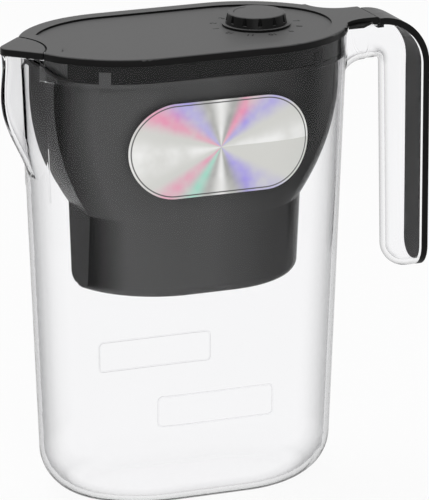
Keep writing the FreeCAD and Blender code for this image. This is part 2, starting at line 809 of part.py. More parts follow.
def neck_plan(sketch):
    flare = dim("neck_flare")
    root_half = dim("neck_root_half")
    start_x = LID_LENGTH - NOSE
    flare_x = LID_LENGTH - dim("neck_root_setback")
    straight_x = LID_LENGTH + dim("neck_flare_overhang")
    points = [(start_x, -root_half), (flare_x, -root_half), (straight_x, -neck_half), (pivot_x, -neck_half),
              (pivot_x, neck_half), (straight_x, neck_half), (flare_x, root_half), (start_x, root_half)]
    return draw(sketch, points, [None, -flare, None, None, None, -flare, None, None])


def recess_plan(sketch):
    """The shallow recess: inset from the lid's outline, with a hollow end round the flap."""
    margin = dim("lid_recess_margin")
    half_length = LID_LENGTH - margin
    half_width = LID_WIDTH - margin
    shoulder = SHOULDER - margin
    nose = NOSE - margin
    lean = (shoulder - half_width) / (shoulder - nose)
    reach = root(as_size(1) - lean * lean)
    nose_centre = half_length - nose
    shoulder_centre = nose_centre - (shoulder - nose) * reach
    meet_x = nose_centre + nose * reach
    meet_y = nose * lean
    hollow = flap_arc + margin
    apart = -nose_centre - flap_centre
    along = (nose * nose - hollow * hollow + apart * apart) / (apart * 2)
    far_x = -nose_centre - along
    far_y = root(nose * nose - along * along)
    points = [
        (meet_x, -meet_y), (meet_x, meet_y), (shoulder_centre, half_width), (-shoulder_centre, half_width),
        (-meet_x, meet_y), (far_x, far_y), (far_x, -far_y), (-meet_x, -meet_y),
        (-shoulder_centre, -half_width), (shoulder_centre, -half_width),
    ]
    radii = [nose, shoulder, None, shoulder, nose, -hollow, nose, shoulder, None, shoulder]
    return draw(sketch, points, radii)


lid_mass = join("lid_mass", [
    lid_plate,
    prism("lid_neck", neck_plan, neck_bottom, LID_TOP),
    cylinder("lid_barrel", barrel, pivot_x, -neck_half, pivot_z, neck_half * 2, "Y"),
])
clear_half = knuckle + gap
knuckle_room = dim("knuckle_radius") + dim("knuckle_gap")
pin_start = dim("hinge_pin_cover") - neck_half
pin_span = neck_half - pin_start
flap_x = dim("flap_pivot_setback") - LID_LENGTH
flap_z = LID_TOP - dim("flap_pivot_drop")
flap_pin = dim("flap_pin_radius")
flap_span = dim("flap_pin_outer")
below = LID_UNDER - barrel * 2
above = LID_TOP + barrel
lid_cuts = [
    prism("lid_recess", recess_plan, recess_floor, above),
    cylinder("flap_notch", notch_radius, flap_centre, ZERO, below, above - below),
    box("bracket_relief", face - thin - gap, wing_x, -half - gap, half + gap, below, plate_high + gap),
    box("barrel_slot", plate_end, pivot_x + barrel * 2, -clear_half, clear_half, below, pivot_z + gap),
    cylinder("knuckle_room", knuckle_room, pivot_x, -clear_half, pivot_z, clear_half * 2, "Y"),
    cylinder("lid_pin_bore", pin, pivot_x, pin_start, pivot_z, pin_span, "Y"),
    cylinder("dial_hole", dim("bush_radius"), dim("dial_x"), ZERO, below, above - below),
    cylinder("flap_pin_bore", flap_pin, flap_x, -flap_span, flap_z, flap_span * 2, "Y"),
]
boss_x = LID_LENGTH - LID_WIDTH - dim("boss_shift")
boss_y = LID_WIDTH - dim("boss_inset")
boss_places = [(boss_x * end, boss_y * side) for end in (-1, 1) for side in (-1, 1)]
liner_low = flange_top + gap
screw_tip = LID_UNDER + dim("liner_screw_grip")
for x, y in boss_places:
    lid_cuts.append(cylinder("lid_screw_hole", dim("liner_screw_radius"), x, y, below, screw_tip - below))
lid_shell = carve("lid_shell", lid_mass, lid_cuts)

hinge_pin = cylinder("hinge_pin", pin, pivot_x, pin_start, pivot_z, pin_span, "Y")

# Liner: the skirt that hangs from the lid into the jug's mouth
end_x = dim("liner_flat_setback") - LID_LENGTH
skirt = dim("liner_wall")
skirt_inset = seat_inset + dim("liner_gap")
far_x = -LID_LENGTH


def liner_block(label, inset, end, low, high):
    """The liner's plan as a block, cut flat at its spout end."""
    plan = prism(f"{label}_plan", lambda sketch: lid_outline(sketch, inset), low, high)
    beyond = box(f"{label}_end", far_x, end, -LID_WIDTH, LID_WIDTH, low - skirt, high + skirt)
    return carve(label, plan, [beyond])


liner_ring = carve("liner_ring", liner_block("liner_outer", skirt_inset, end_x, liner_low, LID_UNDER),
                   [liner_block("liner_space", skirt_inset + skirt, end_x + skirt, tank_top, LID_TOP)])
boss_height = LID_UNDER - liner_low
bosses = [cylinder("liner_boss", dim("boss_radius"), x, y, liner_low, boss_height) for x, y in boss_places]
gate_half = half + gap * 2
liner_cuts = [box("liner_gate", face - thin * 2 - gap, LID_LENGTH, -gate_half, gate_half, tank_top, LID_TOP)]
liner_screw_solids = []
for x, y in boss_places:
    shank = dim("liner_screw_radius")
    head_radius = dim("liner_screw_head")
    head = dim("liner_screw_head_thick")
    liner_cuts.append(cylinder("liner_hole", shank, x, y, tank_top, LID_TOP - tank_top))
    liner_cuts.append(cylinder("liner_sink", head_radius, x, y, tank_top, liner_low + head - tank_top))
    liner_screw_solids.append(join("liner_screw", [
        cylinder("liner_screw_shank", shank, x, y, liner_low, screw_tip - liner_low),
        cylinder("liner_screw_cap", head_radius, x, y, liner_low, head),
    ]))
lid_liner = carve("lid_liner", join("liner_with_bosses", [liner_ring] + bosses), liner_cuts)
liner_screws = doc.addObject("Part::Compound", "liner_screws")
liner_screws.Links = liner_screw_solids

# Spout flap
flap_low = LID_UNDER + dim("flap_lift")
flap_plate = new_body("flap_plate")
flap_sketch = new_sketch(flap_plate, "flap_plan", level=flap_low)
draw(flap_sketch, [(-flap_touch_x, flap_touch_y), (-flap_touch_x, -flap_touch_y), (-corner_x, -corner_y),
                   (-corner_x, corner_y)], [flap_tip, None, flap_arc, None])
pad(flap_plate, flap_sketch, LID_TOP - flap_low)
soften(flap_plate, at_level(LID_TOP), dim("flap_round"))
flap_bosses = []
flap_bores = []
flap_pin_solids = []
boss_half = dim("flap_boss_half")
flap_pin_start = dim("flap_pin_inner")
pin_length = flap_span - flap_pin_start
for side in (-1, 1):
    y = dim("flap_boss_y") * side
    start = flap_pin_start if side > 0 else -flap_span
    flap_bosses.append(box("flap_boss", flap_x - boss_half, flap_x + boss_half, y - boss_half, y + boss_half,
                           flap_low - dim("flap_boss_drop"), flap_low))
    flap_bores.append(cylinder("flap_bore", flap_pin + dim("running_gap"), flap_x, start - gap, flap_z,
                               pin_length + gap * 2, "Y"))
    flap_pin_solids.append(cylinder("flap_pin", flap_pin, flap_x, start, flap_z, pin_length, "Y"))
spout_flap = carve("spout_flap", join("flap_mass", [flap_plate] + flap_bosses), flap_bores)
flap_pins = doc.addObject("Part::Compound", "flap_pins")
flap_pins.Links = flap_pin_solids

# Month dial
dial_x = dim("dial_x")
dial_low = recess_floor + dim("dial_gap")
flange_high = dial_low + dim("dial_flange_thick")
dial_top = dial_low + dim("dial_height")
bush_low = LID_UNDER - dim("bush_flange_thick")
spindle_low = bush_low - dim("dial_gap")
wheel_low = spindle_low - dim("wheel_thick")
spindle = dim("spindle_radius")
screw = dim("dial_screw_radius")
screw_high = wheel_low + dim("dial_screw_length")
flange_radius = dim("dial_flange_radius")
knob = turned("knob_turned", [
    (ZERO, screw_high), (screw, screw_high), (screw, spindle_low), (spindle, spindle_low),
    (spindle, dial_low), (flange_radius, dial_low), (flange_radius, flange_high),
    (dim("dial_base_radius"), flange_high),
    (dim("dial_top_radius"), dial_top), (ZERO, dial_top),
], x=dial_x)
soften(knob, at_level(dial_top), dim("dial_round"))


def around(label, radius, ring_radius, x, z, length, count, turn=0.0):
    """Upright cylinders spaced evenly on a ring."""
    solids = []
    for number in range(count):
        angle = math.tau * (number + turn) / count
        spot_x = x + ring_radius * math.cos(angle)
        spot_y = ring_radius * math.sin(angle)
        solids.append(cylinder(label, radius, spot_x, spot_y, z, length))
    return solids


notch_depth = dim("dial_notch_depth")
notches = around("dial_notch", dim("dial_notch_radius"), dim("dial_base_radius"), dial_x,
                 dial_top - notch_depth, notch_depth * 2, DIAL_MARKS, turn=0.5)
dial_knob = carve("dial_knob", knob, notches)
bush = dim("bush_radius")
bush_bore = spindle + dim("running_gap")
dial_bush = turned("dial_bush", [
    (bush_bore, bush_low), (dim("bush_flange_radius"), bush_low), (dim("bush_flange_radius"), LID_UNDER),
    (bush, LID_UNDER), (bush, recess_floor), (bush_bore, recess_floor),
], x=dial_x)
wheel = dim("wheel_radius")
wheel_disc = turned("wheel_disc", [
    (screw, wheel_low), (wheel, wheel_low), (wheel, spindle_low), (screw, spindle_low),
], x=dial_x)
scallops = around("scallop", dim("scallop_radius"), wheel + dim("scallop_offset"), dial_x, wheel_low - gap,
                  dim("wheel_thick") + gap * 2, DIAL_MARKS)
detent_wheel = carve("detent_wheel", wheel_disc, scallops)
head_low = wheel_low - dim("dial_screw_head_thick")
screw_head = dim("dial_screw_head")
dial_screw = turned("dial_screw", [
    (ZERO, head_low), (screw_head, head_low), (screw_head, wheel_low), (screw, wheel_low),
    (screw, screw_high), (ZERO, screw_high),
], x=dial_x)
nub = dim("spring_nub")
leaf_x = dial_x + wheel + dim("running_gap") + nub
leaf_half = dim("spring_half")
foot = dim("spring_foot")
leaf_low = wheel_low + dim("dial_gap")
leaf_high = spindle_low - dim("dial_gap")
detent_spring = join("detent_spring", [
    box("spring_leaf", leaf_x, leaf_x + dim("spring_thick"), -leaf_half, leaf_half, leaf_low, leaf_high),
    cylinder("spring_bump", nub, leaf_x, ZERO, leaf_low, leaf_high - leaf_low),
    box("spring_foot_front", leaf_x, leaf_x + foot, -leaf_half - foot, -leaf_half, leaf_low, LID_UNDER),
    box("spring_foot_back", leaf_x, leaf_x + foot, leaf_half, leaf_half + foot, leaf_low, LID_UNDER),
])

# Filter cartridge
cart = LID_WIDTH - dim("cart_clearance")
cart_wall = dim("cart_wall")
cup_low = socket_top + dim("cart_seat_gap")
cup_high = cup_low + dim("cart_height")
spigot = dim("socket_bore") - dim("spigot_gap")
spigot_low = TANK_BOTTOM + thin
seal = dim("seal_radius")
seal_level = (spigot_low + cup_low) / 2
seal_ring = dim("socket_bore") - dim("running_gap") - seal
cup_floor = cup_low + cart_wall
outlet = spigot - dim("spigot_wall")
cup = turned("cup_turned", [
    (outlet, spigot_low), (spigot, spigot_low), (spigot, cup_low), (cart, cup_low), (cart, cup_high),
    (cart - cart_wall, cup_high), (cart - cart_wall, cup_floor), (outlet, cup_floor),
])


def hoop(label, ring_radius, tube, level):
    solid = doc.addObject("Part::Torus", label)
    solid.setExpression("Radius1", ring_radius.formula)
    solid.setExpression("Radius2", tube.formula)
    solid.setExpression("Placement.Base.z", level.formula)
    return solid


cartridge_shell = carve("cartridge_shell", cup, [hoop("seal_groove", seal_ring, seal, seal_level)])
cartridge_seal = hoop("cartridge_seal", seal_ring, seal, seal_level)
fill = dim("fill_gap")
screen = dim("screen_thick")
bed_radius = cart - cart_wall - fill
bed_low = cup_floor + screen + fill
bed_high = cup_high - screen - fill
outlet_screen = cylinder("outlet_screen", bed_radius, ZERO, ZERO, cup_floor, screen)
carbon_bed = cylinder("carbon_bed", bed_radius, ZERO, ZERO, bed_low, bed_high - bed_low)
inlet_screen = cylinder("inlet_screen", bed_radius, ZERO, ZERO, bed_high + fill, screen)
cap_high = cup_high + dim("cart_cap_thick")
cap_thick = dim("cart_cap_thick")
loop = hoop("cap_loop", dim("cart_loop_radius"), dim("cart_loop_tube"), cap_high)
loop.Placement.Rotation = FreeCAD.Rotation(FreeCAD.Vector(1, 0, 0), 90)
loop_keep = box("cap_loop_keep", -cart, cart, -cart, cart, cap_high - cap_thick / 2, LID_TOP)
loop_top = combine("cap_loop_top", "Common", loop, loop_keep)
cap_disc = turned("cap_disc", [(ZERO, cup_high), (cart, cup_high), (cart, cap_high), (ZERO, cap_high)])
soften(cap_disc, at_level(cap_high), dim("cart_cap_round"))
cap_slots = around("cap_slot", dim("cap_slot_radius"), dim("cap_slot_ring"), ZERO, cup_high - gap,
                   cap_thick * 2, CAP_SLOTS)
cartridge_cap = carve("cartridge_cap", join("cap_mass", [cap_disc, loop_top]), cap_slots)

nodes = [
    jug_body, foil_label, handle_shell, handle_strip, reservoir, hinge_bracket, bracket_screws,
    lid_shell, hinge_pin, lid_liner, liner_screws, spout_flap, flap_pins,
    dial_knob, dial_bush, detent_wheel, dial_screw, detent_spring,
    cartridge_shell, cartridge_seal, outlet_screen, carbon_bed, inlet_screen, cartridge_cap,
]

# Check everything, then write each piece
doc.recompute()
failed = [item.Label for item in doc.Objects if "Invalid" in item.State or "Error" in item.State]
if failed:
    raise RuntimeError(f"failed: {failed}")
os.makedirs("parts", exist_ok=True)
for node in nodes:
    if node.Shape.isNull() or not node.Shape.isValid():
        raise RuntimeError(f"{node.Label} has no valid shape")
    extent = node.Shape.optimalBoundingBox()
    print(f"{node.Label}: {len(node.Shape.Solids)} solid, {node.Shape.Volume / 1000:.2f} cm3, "
          f"x {extent.XMin:.1f}..{extent.XMax:.1f} y {extent.YMin:.1f}..{extent.YMax:.1f} "
          f"z {extent.ZMin:.1f}..{extent.ZMax:.1f}")
    node.Shape.exportStep(f"parts/{node.Label}.step")
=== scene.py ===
"""Looks of the water filter pitcher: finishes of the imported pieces, small trim, studio and camera.

Metres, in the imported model's own frame: +Z up, spout at -X, handle at +X, front at -Y.
"""
import json
import math

import bmesh
import bpy
from mathutils import Matrix, Vector
from mathutils.bvhtree import BVHTree


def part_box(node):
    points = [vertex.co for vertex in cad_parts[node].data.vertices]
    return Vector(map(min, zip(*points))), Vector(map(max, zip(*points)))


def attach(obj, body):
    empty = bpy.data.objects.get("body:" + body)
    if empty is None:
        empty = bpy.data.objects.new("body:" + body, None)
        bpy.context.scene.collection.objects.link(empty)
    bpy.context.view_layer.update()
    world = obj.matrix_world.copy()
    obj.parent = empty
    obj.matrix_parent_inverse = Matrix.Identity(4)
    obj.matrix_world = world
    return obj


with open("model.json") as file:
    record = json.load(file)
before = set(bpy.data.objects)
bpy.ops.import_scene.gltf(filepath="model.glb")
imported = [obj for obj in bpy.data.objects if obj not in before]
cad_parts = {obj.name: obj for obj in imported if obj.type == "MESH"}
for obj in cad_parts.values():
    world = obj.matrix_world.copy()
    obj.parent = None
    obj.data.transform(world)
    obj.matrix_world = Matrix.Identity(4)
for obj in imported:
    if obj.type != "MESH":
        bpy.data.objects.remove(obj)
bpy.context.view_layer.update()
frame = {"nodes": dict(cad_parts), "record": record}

MM = 0.001
nodes = frame["nodes"]


def low(node, axis):
    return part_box(node)[0][axis]


def high(node, axis):
    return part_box(node)[1][axis]


# Places that the finishes and trim share, read from the frame
joints = {joint["name"]: joint for joint in frame["record"]["behaviour"]["joints"]}
DIAL_X = joints["dial_turn"]["pos_m"][0]
RECESS_FLOOR = high("dial_bush", 2)
DIAL_TOP = high("dial_knob", 2)
LABEL_Z = (low("foil_label", 2) + high("foil_label", 2)) / 2
LABEL_HALF_HEIGHT = (high("foil_label", 2) - low("foil_label", 2)) / 2
LABEL_HALF_LENGTH = (high("foil_label", 0) - low("foil_label", 0)) / 2


# Node helpers
def reckon(tree, operation, first, second=None):
    """A maths node on sockets or numbers."""
    node = tree.nodes.new("ShaderNodeMath")
    node.operation = operation
    for index, value in enumerate((first, second)):
        if value is None:
            continue
        if isinstance(value, (int, float)):
            node.inputs[index].default_value = value
        else:
            tree.links.new(value, node.inputs[index])
    return node.outputs[0]


class Shader:
    """A node material with one Principled shader."""

    def __init__(self, name):
        self.material = bpy.data.materials.new(name)
        self.material.use_nodes = True
        self.tree = self.material.node_tree
        self.shader = self.tree.nodes["Principled BSDF"]
        self.place = self.add("ShaderNodeTexCoord")

    def add(self, kind, **settings):
        node = self.tree.nodes.new(kind)
        for key, value in settings.items():
            setattr(node, key, value)
        return node

    def link(self, out, into):
        self.tree.links.new(out, into)

    def set(self, **sockets):
        """Sets the shader's own sockets; underscores stand for spaces."""
        for key, value in sockets.items():
            self.shader.inputs[key.replace("_", " ")].default_value = value

    def math(self, kind, first, second=None):
        return reckon(self.tree, kind, first, second)

    def noise(self, size, detail=2.0):
        """Noise in object space whose features are about size metres across."""
        node = self.add("ShaderNodeTexNoise")
        node.inputs["Scale"].default_value = 1.0 / size
        node.inputs["Detail"].default_value = detail
        self.link(self.place.outputs["Object"], node.inputs["Vector"])
        return node.outputs["Fac"]

    def axes(self, kind):
        """X, Y and Z of a point or normal in object space."""
        split = self.add("ShaderNodeSeparateXYZ")
        self.link(self.place.outputs[kind], split.inputs[0])
        return split.outputs["X"], split.outputs["Y"], split.outputs["Z"]

    def spread(self, value, low_out, high_out, low_in=0.3, high_in=0.7):
        """The value carried over from one range to another."""
        node = self.add("ShaderNodeMapRange")
        node.inputs["From Min"].default_value = low_in
        node.inputs["From Max"].default_value = high_in
        node.inputs["To Min"].default_value = low_out
        node.inputs["To Max"].default_value = high_out
        self.link(value, node.inputs["Value"])
        return node.outputs["Result"]

    def mix(self, factor, first, second):
        """A colour mix; first and second are colours or sockets."""
        node = self.add("ShaderNodeMix", data_type="RGBA")
        self.link(factor, node.inputs["Factor"])
        for value, name in ((first, "A"), (second, "B")):
            target = [item for item in node.inputs if item.name == name and item.type == "RGBA"][0]
            if isinstance(value, tuple):
                target.default_value = value
            else:
                self.link(value, target)
        return [item for item in node.outputs if item.type == "RGBA"][0]

    def bump(self, height, strength, distance):
        node = self.add("ShaderNodeBump")
        node.inputs["Strength"].default_value = strength
        node.inputs["Distance"].default_value = distance
        self.link(height, node.inputs["Height"])
        self.link(node.outputs["Normal"], self.shader.inputs["Normal"])

    def colour(self, socket):
        self.link(socket, self.shader.inputs["Base Color"])

    def roughness(self, socket):
        self.link(socket, self.shader.inputs["Roughness"])


def grey(level):
    return (level, level, level, 1.0)


# Finishes
def clear_plastic():
    """Clear walls whose colour is darkened where they turn away, painted shade for the dark edges that
    thick moulded plastic shows.
    """
    s = Shader("clear_plastic")
    s.set(Transmission_Weight=1.0, IOR=1.12)
    facing = s.add("ShaderNodeLayerWeight")
    facing.inputs["Blend"].default_value = 0.5
    upright = s.spread(s.math("ABSOLUTE", s.axes("Normal")[2]), 1.0, 0.2, 0.85, 0.99)
    # Painted shade: towards the grazing edges of the upright walls the colour goes to dark grey.
    edge = s.math("MULTIPLY", s.math("POWER", facing.outputs["Facing"], 2.0), upright)
    body = s.mix(s.noise(0.06), (0.966, 0.966, 0.971, 1.0), (0.98, 0.98, 0.985, 1.0))
    s.colour(s.mix(s.spread(edge, 0.0, 1.0, 0.1, 0.85), body, (0.14, 0.14, 0.145, 1.0)))
    s.roughness(s.spread(s.noise(0.02), 0.0, 0.02))
    s.bump(s.noise(0.045, detail=1.0), 0.04, 0.0004)
    return s.material


# How far from the middle the painted shade goes on deepening towards the handle
SMOKE_SHADE_REACH = 55.0 * MM


def smoke_plastic():
    """Smoky plastic with painted shade: darker on the faces at either end and towards the handle, away
    from the light.
    """
    s = Shader("smoke_plastic")
    s.set(Transmission_Weight=0.05, IOR=1.45, Specular_IOR_Level=0.02)
    # Painted shade: the colour goes near black on the faces at either end and, past the middle, towards
    # the handle.
    painted_end_shade = s.spread(s.math("ABSOLUTE", s.axes("Normal")[0]), 0.0, 1.0, 0.6, 0.85)
    painted_handle_shade = s.spread(s.axes("Object")[0], 0.0, 0.85, 0.0, SMOKE_SHADE_REACH)
    front = s.mix(s.noise(0.05), grey(0.104), grey(0.112))
    s.colour(s.mix(s.math("MAXIMUM", painted_end_shade, painted_handle_shade), front, grey(0.01)))
    s.roughness(s.spread(s.noise(0.03), 0.2, 0.24))
    s.bump(s.noise(0.03, detail=0.0), 0.02, 0.0002)
    return s.material


def lid_plastic():
    """Satin grain on the faces that look up; polished edges round them, with painted shade making their
    colour near black where they turn from the light above.
    """
    s = Shader("lid_plastic")
    s.set(IOR=1.47, Specular_IOR_Level=0.09)
    upward = s.spread(s.axes("Normal")[2], 0.0, 1.0, 0.45, 0.95)
    satin = s.mix(s.noise(0.0011, detail=4.0), grey(0.098), grey(0.117))
    # Painted shade: faces that don't look up get a near-black colour.
    s.colour(s.mix(upward, grey(0.006), satin))
    s.roughness(s.spread(upward, 0.3, 0.52, 0.0, 1.0))
    s.bump(s.noise(0.00035, detail=2.0), 0.12, 0.00004)
    return s.material


def dark_plastic():
    s = Shader("dark_plastic")
    s.set(IOR=1.47, Specular_IOR_Level=0.12)
    s.colour(s.mix(s.noise(0.012), grey(0.011), grey(0.018)))
    s.roughness(s.spread(s.noise(0.004), 0.3, 0.42))
    s.bump(s.noise(0.004, detail=2.0), 0.04, 0.00006)
    return s.material


def strip_plastic():
    """The handle's strip with painted light and shade by facing: grey on faces that look up, darker
    grey on the inner face, near black elsewhere.
    """
    s = Shader("strip_plastic")
    s.set(IOR=1.47, Specular_IOR_Level=0.06)
    along, _, level = s.axes("Normal")
    upward = s.spread(level, 0.0, 1.0, 0.35, 0.95)
    inward = s.spread(along, 1.0, 0.0, -0.95, -0.35)
    # Painted light and shade: the colour is set by which way each face looks.
    inner = s.mix(inward, grey(0.008), grey(0.044))
    s.colour(s.mix(upward, inner, grey(0.106)))
    s.roughness(s.spread(s.noise(0.004), 0.36, 0.46))
    s.bump(s.noise(0.0004, detail=2.0), 0.1, 0.00004)
    return s.material


def ink():
    s = Shader("mark_ink")
    s.set(Specular_IOR_Level=0.2)
    s.colour(s.mix(s.noise(0.0015), grey(0.006), grey(0.012)))
    s.roughness(s.spread(s.noise(0.001), 0.5, 0.65))
    return s.material


# The foil: a ring by its edge, and its colours round the fan, from 0 to 1; the fan is a painted sheen
# with painted highlight and shade bands
RING_INSET = 1.4 * MM
RING_WIDTH = 0.45 * MM
SILVER = (0.7, 0.7, 0.67, 1.0)
PAINTED_HIGHLIGHT = (0.95, 0.95, 0.94, 1.0)
PAINTED_SHADE = (0.4, 0.4, 0.39, 1.0)
PURPLE = (0.4, 0.34, 0.85, 1.0)
PINK = (0.85, 0.34, 0.5, 1.0)
TEAL = (0.3, 0.75, 0.6, 1.0)
FOIL_FAN = [
    (0.0, PAINTED_HIGHLIGHT), (0.06, SILVER), (0.11, PURPLE), (0.16, PINK), (0.2, PAINTED_SHADE), (0.25, PAINTED_HIGHLIGHT),
    (0.3, PAINTED_SHADE), (0.36, PURPLE), (0.42, PINK), (0.46, SILVER), (0.51, PAINTED_HIGHLIGHT), (0.57, SILVER),
    (0.61, PINK), (0.66, TEAL), (0.7, PAINTED_SHADE), (0.75, PAINTED_HIGHLIGHT), (0.79, PAINTED_SHADE), (0.86, PURPLE),
    (0.93, SILVER),
]


def foil():
    """Bare foil with a painted rainbow sheen that fans out from its middle and a thin ring by its edge.
    """
    s = Shader("foil")
    s.set(Metallic=0.35, Specular_IOR_Level=0.5)
    across, _, height = s.axes("Object")
    up = s.math("SUBTRACT", height, LABEL_Z)
    turn = s.math("DIVIDE", s.math("ARCTAN2", up, across), math.tau)
    around = s.math("FRACT", s.math("ADD", turn, 1.0))
    # Painted sheen: the ramp lays bands of colour, highlight and shade round the middle.
    ramp = s.add("ShaderNodeValToRGB")
    ramp.color_ramp.interpolation = "EASE"
    elements = ramp.color_ramp.elements
    while len(elements) < len(FOIL_FAN):
        elements.new(0.5)
    for element, (place, colour) in zip(elements, FOIL_FAN):
        element.position = place
        element.color = colour
    s.link(around, ramp.inputs["Fac"])
    run = LABEL_HALF_LENGTH - LABEL_HALF_HEIGHT
    past = s.math("MAXIMUM", s.math("SUBTRACT", s.math("ABSOLUTE", across), run), 0.0)
    reach = s.math("SQRT", s.math("ADD", s.math("POWER", past, 2.0), s.math("POWER", up, 2.0)))
    inset = s.math("SUBTRACT", LABEL_HALF_HEIGHT, reach)
    off_ring = s.math("ABSOLUTE", s.math("SUBTRACT", inset, RING_INSET))
    ring = s.spread(off_ring, 1.0, 0.0, RING_WIDTH * 0.5, RING_WIDTH)
    haze = s.mix(s.spread(s.noise(0.012), 0.0, 0.75), ramp.outputs["Color"], SILVER)
    s.colour(s.mix(ring, haze, grey(0.1)))
    s.roughness(s.spread(s.noise(0.002), 0.3, 0.4))
    s.bump(s.noise(0.0012, detail=1.0), 0.05, 0.00004)
    return s.material


def steel():
    s = Shader("screw_steel")
    s.set(Metallic=1.0)
    s.colour(s.mix(s.noise(0.0008), grey(0.5), grey(0.62)))
    s.roughness(s.spread(s.noise(0.0006), 0.25, 0.4))
    return s.material


def white_plastic():
    s = Shader("white_plastic")
    s.set(Specular_IOR_Level=0.4)
    s.colour(s.mix(s.noise(0.01), grey(0.74), grey(0.8)))
    s.roughness(s.spread(s.noise(0.003), 0.38, 0.5))
    s.bump(s.noise(0.0005), 0.08, 0.00004)
    return s.material


def rubber():
    s = Shader("seal_rubber")
    s.colour(s.mix(s.noise(0.002), grey(0.02), grey(0.03)))
    s.roughness(s.spread(s.noise(0.001), 0.55, 0.7))
    return s.material


MESH_PITCH = 0.5 * MM


def mesh_fabric():
    """A fine square mesh of threads."""
    s = Shader("mesh_fabric")
    along, across, _ = s.axes("Object")
    warp = s.math("SINE", s.math("MULTIPLY", along, math.tau / MESH_PITCH))
    weft = s.math("SINE", s.math("MULTIPLY", across, math.tau / MESH_PITCH))
    weave = s.math("MAXIMUM", warp, weft)
    s.colour(s.mix(s.spread(weave, 0.0, 1.0, 0.0, 0.8), grey(0.25), grey(0.75)))
    s.roughness(s.spread(s.noise(0.001), 0.6, 0.75))
    s.bump(weave, 0.4, 0.0001)
    return s.material


GRAIN_SIZE = 1.1 * MM


def carbon():
    s = Shader("carbon")
    grains = s.add("ShaderNodeTexVoronoi")
    grains.inputs["Scale"].default_value = 1.0 / GRAIN_SIZE
    s.link(s.place.outputs["Object"], grains.inputs["Vector"])
    s.colour(s.mix(grains.outputs["Distance"], grey(0.03), grey(0.008)))
    s.roughness(s.spread(grains.outputs["Distance"], 0.4, 0.8, 0.0, 0.6))
    s.bump(grains.outputs["Distance"], 0.8, 0.0004)
    return s.material


CLEAR = clear_plastic()
SMOKE = smoke_plastic()
LID = lid_plastic()
DARK = dark_plastic()
STRIP = strip_plastic()
INK = ink()
FOIL = foil()
STEEL = steel()
WHITE = white_plastic()
FINISHES = {
    "jug_body": CLEAR, "handle_shell": CLEAR, "handle_strip": STRIP, "foil_label": FOIL,
    "reservoir": SMOKE, "hinge_bracket": DARK, "bracket_screws": STEEL,
    "lid_shell": LID, "hinge_pin": STEEL, "lid_liner": DARK, "liner_screws": STEEL,
    "spout_flap": LID, "flap_pins": STEEL,
    "dial_knob": LID, "dial_bush": WHITE, "detent_wheel": WHITE,
    "dial_screw": STEEL, "detent_spring": WHITE,
    "cartridge_shell": WHITE, "cartridge_seal": rubber(), "outlet_screen": mesh_fabric(),
    "carbon_bed": carbon(), "inlet_screen": mesh_fabric(), "cartridge_cap": WHITE,
}
for node, material in FINISHES.items():
    mesh = nodes[node].data
    mesh.materials.clear()
    mesh.materials.append(material)


# Piece helpers
def placed(name, data):
    """A new object in the scene."""
    item = bpy.data.objects.new(name, data)
    bpy.context.scene.collection.objects.link(item)
    return item


def mesh_from(name, grid):
    """A mesh of the grid, with its faces turned outwards."""
    bmesh.ops.recalc_face_normals(grid, faces=grid.faces)
    mesh = bpy.data.meshes.new(name)
    grid.to_mesh(mesh)
    grid.free()
    return mesh


def piece_from(name, mesh, material, body):
    """A shown piece that rides on a body."""
    piece = placed(name, mesh)
    mesh.materials.clear()
    mesh.materials.append(material)
    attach(piece, body)


STROKE_GAIN = 0.025


def flat_text(name, words, size, thick):
    """A mesh of the words, centred on the origin in the XY plane."""
    curve = bpy.data.curves.new(name, "FONT")
    curve.body = words
    curve.size = size
    curve.extrude = thick / 2
    curve.offset = size * STROKE_GAIN
    curve.align_x = "CENTER"
    curve.align_y = "CENTER"
    holder = bpy.data.objects.new(name, curve)
    mesh = bpy.data.meshes.new_from_object(holder)
    bpy.data.objects.remove(holder)
    bpy.data.curves.remove(curve)
    return mesh


def band(name, inner, outer, start, end, z, thick, steps=48):
    """A flat arc band round the origin between two radii and two angles."""
    grid = bmesh.new()
    rings = []
    corners = ((inner, z), (outer, z), (outer, z + thick), (inner, z + thick))
    for step in range(steps + 1):
        angle = start + (end - start) * step / steps
        spoke = Vector((math.cos(angle), math.sin(angle), 0.0))
        places = [spoke * radius + Vector((0, 0, level)) for radius, level in corners]
        rings.append([grid.verts.new(place) for place in places])
    for before, after in zip(rings, rings[1:]):
        for corner in range(4):
            after_corner = (corner + 1) % 4
            grid.faces.new((before[corner], before[after_corner], after[after_corner], after[corner]))
    grid.faces.new(rings[0][::-1])
    grid.faces.new(rings[-1])
    return mesh_from(name, grid)


# Numbers round the dial, one for each month
NUMBER_RADIUS = 23.5 * MM
NUMBER_SIZE = 5.0 * MM
PRINT_THICK = 0.12 * MM
for month in range(1, 13):
    angle = math.pi - (month - 1) * math.tau / 12
    mesh = flat_text(f"month_{month}", str(month), NUMBER_SIZE, PRINT_THICK)
    spoke = Vector((math.cos(angle), math.sin(angle), 0.0))
    place = Vector((DIAL_X, 0.0, RECESS_FLOOR)) + spoke * NUMBER_RADIUS
    mesh.transform(Matrix.Translation(place) @ Matrix.Rotation(angle - math.pi / 2, 4, "Z"))
    piece_from(f"month_{month}", mesh, INK, "lid")

# Mark on the dial's top: a thin arc
MARK_RADIUS = 12.6 * MM
MARK_WIDTH = 0.7 * MM
MARK_START = math.radians(95)
MARK_END = math.radians(165)
mark = band("dial_mark", MARK_RADIUS - MARK_WIDTH, MARK_RADIUS, MARK_START, MARK_END,
            DIAL_TOP - PRINT_THICK / 2, PRINT_THICK)
mark.transform(Matrix.Translation((DIAL_X, 0.0, 0.0)))
piece_from("dial_mark", mark, INK, "dial")


# Trim that follows a CAD surface
def surface_of(node):
    """A tree for finding points on a node's surface."""
    mesh = nodes[node].data
    corners = [vertex.co.copy() for vertex in mesh.vertices]
    return BVHTree.FromPolygons(corners, [list(face.vertices) for face in mesh.polygons])


RAY_START = 0.2


